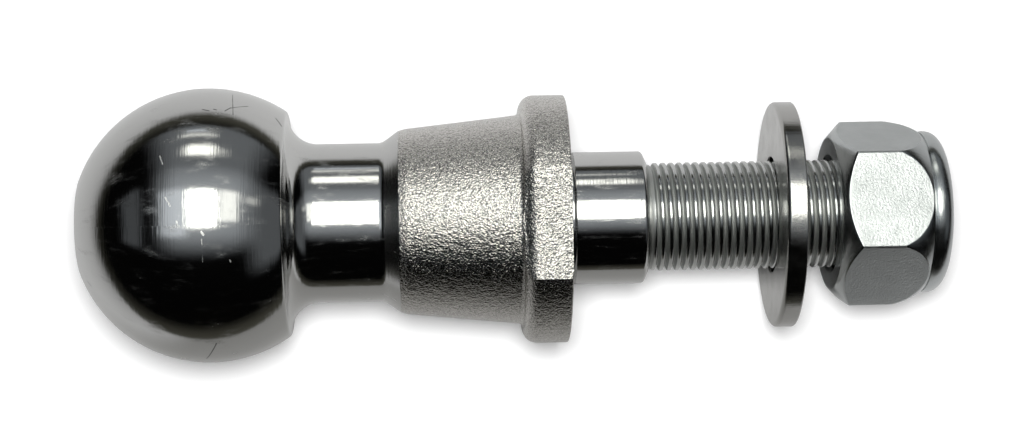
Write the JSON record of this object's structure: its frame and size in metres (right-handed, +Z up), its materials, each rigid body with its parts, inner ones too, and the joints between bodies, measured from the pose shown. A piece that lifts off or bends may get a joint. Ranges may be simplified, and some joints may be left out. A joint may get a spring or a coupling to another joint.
{
  "type": "threaded tow ball",
  "caption": "Forged tow ball on a threaded shank, with a wrench-flat collar, a turned register, a loose plain washer and a nylon-insert lock nut.",
  "frame": {"origin": "on the floor that the part lies on, midway between the ball's end and the nut's end", "axes": "+X from the ball towards the nut in the upright plane through the stud's axis, which falls 2.47 degrees towards the nut; +Z up from the floor"},
  "size_m": [0.1581, 0.05, 0.05],
  "materials": {
    "stud_steel": "polished ball, neck and register, blasted zinc body, zinc thread",
    "washer_zinc": "bright zinc plate",
    "nut_zinc": "bright zinc plate",
    "nylon": "natural nylon"
  },
  "bodies": {
    "stud": {"ball_stud": "stud_steel"},
    "washer": {"washer": "washer_zinc"},
    "nut_travel": {"nylon_ring": "nylon"},
    "nut": {"nut": "nut_zinc"}
  },
  "joints": [
    {"name": "washer_slide", "type": "slide", "parent": "stud", "child": "washer", "axis": [0.9991, 0, -0.0431], "range_m": [-0.0228, 0]},
    {"name": "nut_run", "type": "slide", "parent": "stud", "child": "nut_travel", "axis": [0.9991, 0, -0.0431], "range_m": [-0.006, 0.0135]},
    {"name": "nut_turn", "type": "hinge", "parent": "nut_travel", "child": "nut", "pos_m": [0.06842, 0, 0.01966], "axis": [0.9991, 0, -0.0431], "range_deg": [-1440, 3240]}
  ],
  "couplings": [
    {"joint": "nut_run", "follows": "nut_turn", "m_per_rad": 0.00023873}
  ]
}
